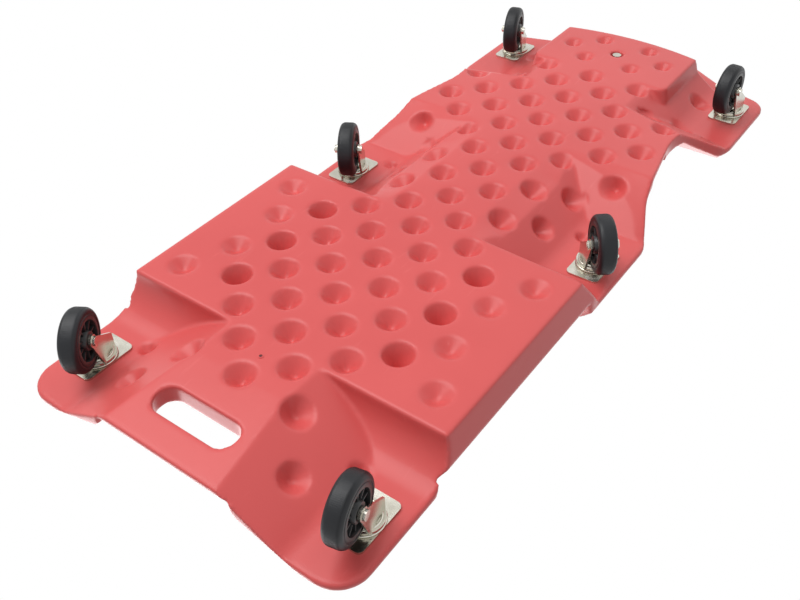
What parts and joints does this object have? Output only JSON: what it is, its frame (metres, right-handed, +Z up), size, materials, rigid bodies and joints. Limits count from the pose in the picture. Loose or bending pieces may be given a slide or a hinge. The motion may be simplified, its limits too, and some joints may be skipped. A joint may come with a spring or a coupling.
{
  "type": "mechanic creeper",
  "caption": "Low rolling mechanic's creeper: moulded hollow deck with lying channel, side tool trays, padded headrest, foot-end hand slot and swivel casters in recessed pads.",
  "frame": {"origin": "floor point under the middle of the creeper standing on its wheels", "axes": "+X from foot end to head end, +Y across to the left, +Z up"},
  "size_m": [0.996, 0.4133, 0.129],
  "materials": {
    "deck_plastic": "moulded polyethylene, satin",
    "board_wood": "raw plywood",
    "cushion_vinyl": "grained vinyl",
    "zinc_steel": "bright zinc plate",
    "race_plastic": "nylon",
    "wheel_plastic": "moulded black",
    "tyre_rubber": "hard charcoal rubber"
  },
  "bodies": {
    "deck": {"deck_shell": "deck_plastic", "headrest_board": "board_wood", "headrest_cushion": "cushion_vinyl", "headrest_screw": "zinc_steel", "headrest_washer": "zinc_steel", "headrest_tee_nut": "zinc_steel", "thrust_washers": "race_plastic", "caster_stems": "zinc_steel", "stem_washers": "zinc_steel", "stem_nuts": "zinc_steel", "caster_plate_foot_left": "zinc_steel", "caster_plate_foot_right": "zinc_steel", "caster_plate_mid_left": "zinc_steel", "caster_plate_mid_right": "zinc_steel", "caster_plate_head_left": "zinc_steel", "caster_plate_head_right": "zinc_steel"},
    "swivel_foot_left": {"fork_foot_left": "zinc_steel", "axle_bolt_foot_left": "zinc_steel", "axle_nut_foot_left": "zinc_steel"},
    "wheel_foot_left": {"wheel_core_foot_left": "wheel_plastic", "tyre_foot_left": "tyre_rubber"},
    "swivel_foot_right": {"fork_foot_right": "zinc_steel", "axle_bolt_foot_right": "zinc_steel", "axle_nut_foot_right": "zinc_steel"},
    "wheel_foot_right": {"wheel_core_foot_right": "wheel_plastic", "tyre_foot_right": "tyre_rubber"},
    "swivel_mid_left": {"fork_mid_left": "zinc_steel", "axle_bolt_mid_left": "zinc_steel", "axle_nut_mid_left": "zinc_steel"},
    "wheel_mid_left": {"wheel_core_mid_left": "wheel_plastic", "tyre_mid_left": "tyre_rubber"},
    "swivel_mid_right": {"fork_mid_right": "zinc_steel", "axle_bolt_mid_right": "zinc_steel", "axle_nut_mid_right": "zinc_steel"},
    "wheel_mid_right": {"wheel_core_mid_right": "wheel_plastic", "tyre_mid_right": "tyre_rubber"},
    "swivel_head_left": {"fork_head_left": "zinc_steel", "axle_bolt_head_left": "zinc_steel", "axle_nut_head_left": "zinc_steel"},
    "wheel_head_left": {"wheel_core_head_left": "wheel_plastic", "tyre_head_left": "tyre_rubber"},
    "swivel_head_right": {"fork_head_right": "zinc_steel", "axle_bolt_head_right": "zinc_steel", "axle_nut_head_right": "zinc_steel"},
    "wheel_head_right": {"wheel_core_head_right": "wheel_plastic", "tyre_head_right": "tyre_rubber"}
  },
  "joints": [
    {"name": "swivel_foot_left", "type": "hinge", "parent": "deck", "child": "swivel_foot_left", "pos_m": [-0.43, 0.169, 0.07], "axis": [0, 0, 1], "continuous": true},
    {"name": "spin_foot_left", "type": "hinge", "parent": "swivel_foot_left", "child": "wheel_foot_left", "pos_m": [-0.45308, 0.17391, 0.032], "axis": [-0.2079, -0.9781, 0], "continuous": true},
    {"name": "swivel_foot_right", "type": "hinge", "parent": "deck", "child": "swivel_foot_right", "pos_m": [-0.43, -0.169, 0.07], "axis": [0, 0, 1], "continuous": true},
    {"name": "spin_foot_right", "type": "hinge", "parent": "swivel_foot_right", "child": "wheel_foot_right", "pos_m": [-0.45001, -0.15649, 0.032], "axis": [-0.5299, -0.848, 0], "continuous": true},
    {"name": "swivel_mid_left", "type": "hinge", "parent": "deck", "child": "swivel_mid_left", "pos_m": [-0.018, 0.169, 0.07], "axis": [0, 0, 1], "continuous": true},
    {"name": "spin_mid_left", "type": "hinge", "parent": "swivel_mid_left", "child": "wheel_mid_left", "pos_m": [-0.03634, 0.18385, 0.032], "axis": [-0.6293, -0.7771, 0], "continuous": true},
    {"name": "swivel_mid_right", "type": "hinge", "parent": "deck", "child": "swivel_mid_right", "pos_m": [-0.018, -0.169, 0.07], "axis": [0, 0, 1], "continuous": true},
    {"name": "spin_mid_right", "type": "hinge", "parent": "swivel_mid_right", "child": "wheel_mid_right", "pos_m": [-0.03844, -0.1572, 0.032], "axis": [-0.5, -0.866, 0], "continuous": true},
    {"name": "swivel_head_left", "type": "hinge", "parent": "deck", "child": "swivel_head_left", "pos_m": [0.383, 0.169, 0.07], "axis": [0, 0, 1], "continuous": true},
    {"name": "spin_head_left", "type": "hinge", "parent": "swivel_head_left", "child": "wheel_head_left", "pos_m": [0.3594, 0.16859, 0.032], "axis": [0.0175, -0.9998, 0], "continuous": true},
    {"name": "swivel_head_right", "type": "hinge", "parent": "deck", "child": "swivel_head_right", "pos_m": [0.383, -0.169, 0.07], "axis": [0, 0, 1], "continuous": true},
    {"name": "spin_head_right", "type": "hinge", "parent": "swivel_head_right", "child": "wheel_head_right", "pos_m": [0.36056, -0.16171, 0.032], "axis": [-0.309, -0.9511, 0], "continuous": true}
  ]
}
